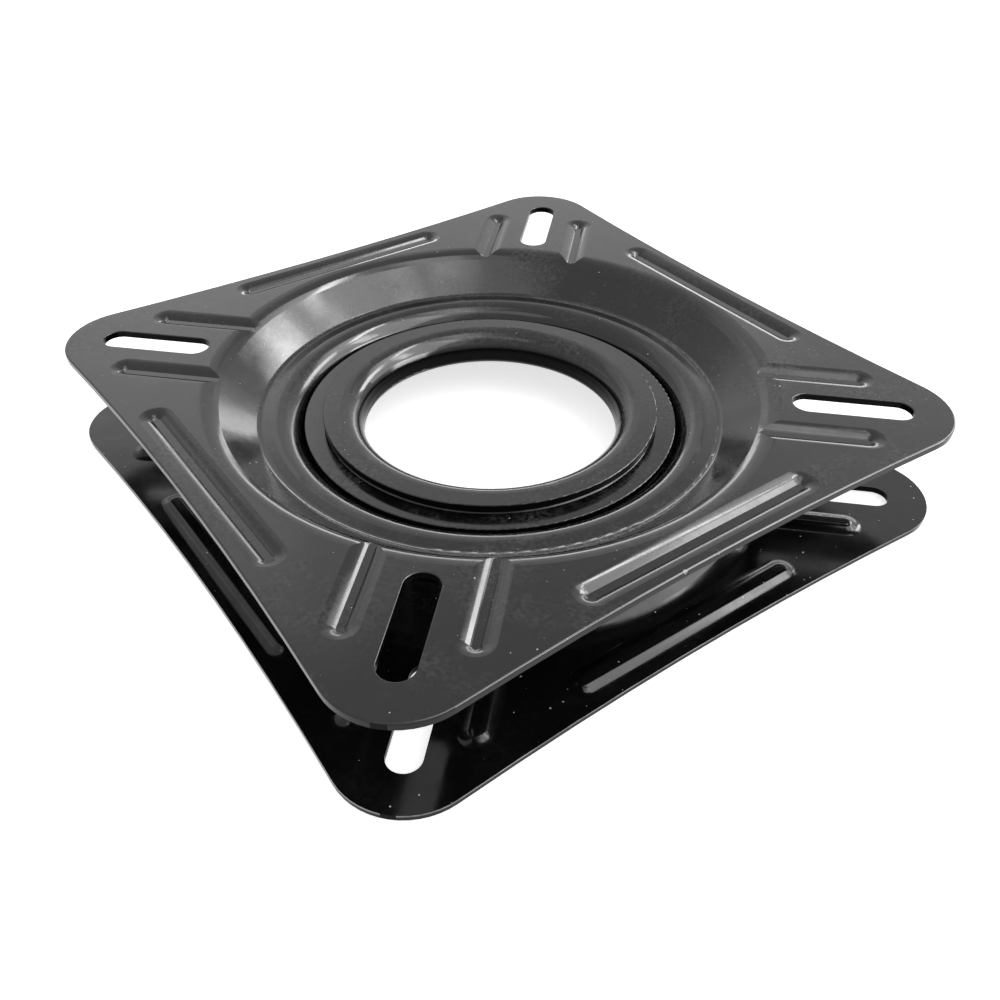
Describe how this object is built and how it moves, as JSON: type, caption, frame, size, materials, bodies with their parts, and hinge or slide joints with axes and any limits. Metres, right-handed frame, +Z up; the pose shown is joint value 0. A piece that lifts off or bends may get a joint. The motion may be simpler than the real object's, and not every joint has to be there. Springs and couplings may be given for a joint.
{
  "type": "lazy susan bearing",
  "caption": "Square turntable swivel: two pressed steel plates with slotted corners turn on ball rows round an open centre.",
  "frame": {"origin": "centre of the bottom plate's flat underside, on the swivel axis", "axes": "+Z up along the swivel axis; +X and +Y along the plates' diagonals, through the mounting slots"},
  "size_m": [0.2402, 0.2402, 0.03],
  "materials": {
    "black_coating": "semi-gloss black coating on pressed steel",
    "ball_steel": "polished bearing steel, lightly greased",
    "cage_plastic": "matt dark nylon"
  },
  "bodies": {
    "base": {"bottom_plate": "black_coating", "retaining_ring": "black_coating"},
    "turntable": {"top_plate": "black_coating"},
    "outer_row": {"outer_cage": "cage_plastic", "outer_ball_01": "ball_steel", "outer_ball_02": "ball_steel", "outer_ball_03": "ball_steel", "outer_ball_04": "ball_steel", "outer_ball_05": "ball_steel", "outer_ball_06": "ball_steel", "outer_ball_07": "ball_steel", "outer_ball_08": "ball_steel", "outer_ball_09": "ball_steel", "outer_ball_10": "ball_steel", "outer_ball_11": "ball_steel", "outer_ball_12": "ball_steel", "outer_ball_13": "ball_steel", "outer_ball_14": "ball_steel", "outer_ball_15": "ball_steel", "outer_ball_16": "ball_steel", "outer_ball_17": "ball_steel", "outer_ball_18": "ball_steel", "outer_ball_19": "ball_steel", "outer_ball_20": "ball_steel", "outer_ball_21": "ball_steel", "outer_ball_22": "ball_steel", "outer_ball_23": "ball_steel", "outer_ball_24": "ball_steel"},
    "inner_row": {"inner_cage": "cage_plastic", "inner_ball_01": "ball_steel", "inner_ball_02": "ball_steel", "inner_ball_03": "ball_steel", "inner_ball_04": "ball_steel", "inner_ball_05": "ball_steel", "inner_ball_06": "ball_steel", "inner_ball_07": "ball_steel", "inner_ball_08": "ball_steel", "inner_ball_09": "ball_steel", "inner_ball_10": "ball_steel", "inner_ball_11": "ball_steel", "inner_ball_12": "ball_steel", "inner_ball_13": "ball_steel", "inner_ball_14": "ball_steel", "inner_ball_15": "ball_steel", "inner_ball_16": "ball_steel", "inner_ball_17": "ball_steel", "inner_ball_18": "ball_steel", "inner_ball_19": "ball_steel", "inner_ball_20": "ball_steel", "inner_ball_21": "ball_steel", "inner_ball_22": "ball_steel", "inner_ball_23": "ball_steel", "inner_ball_24": "ball_steel"}
  },
  "joints": [
    {"name": "swivel", "type": "hinge", "parent": "base", "child": "turntable", "pos_m": [0, 0, 0.015], "axis": [0, 0, 1], "continuous": true},
    {"name": "outer_row_turn", "type": "hinge", "parent": "base", "child": "outer_row", "pos_m": [0, 0, 0.015], "axis": [0, 0, 1], "continuous": true},
    {"name": "inner_row_turn", "type": "hinge", "parent": "base", "child": "inner_row", "pos_m": [0, 0, 0.015], "axis": [0, 0, 1], "continuous": true}
  ],
  "couplings": [
    {"joint": "outer_row_turn", "follows": "swivel", "ratio": 0.5},
    {"joint": "inner_row_turn", "follows": "swivel", "ratio": 0.5}
  ]
}
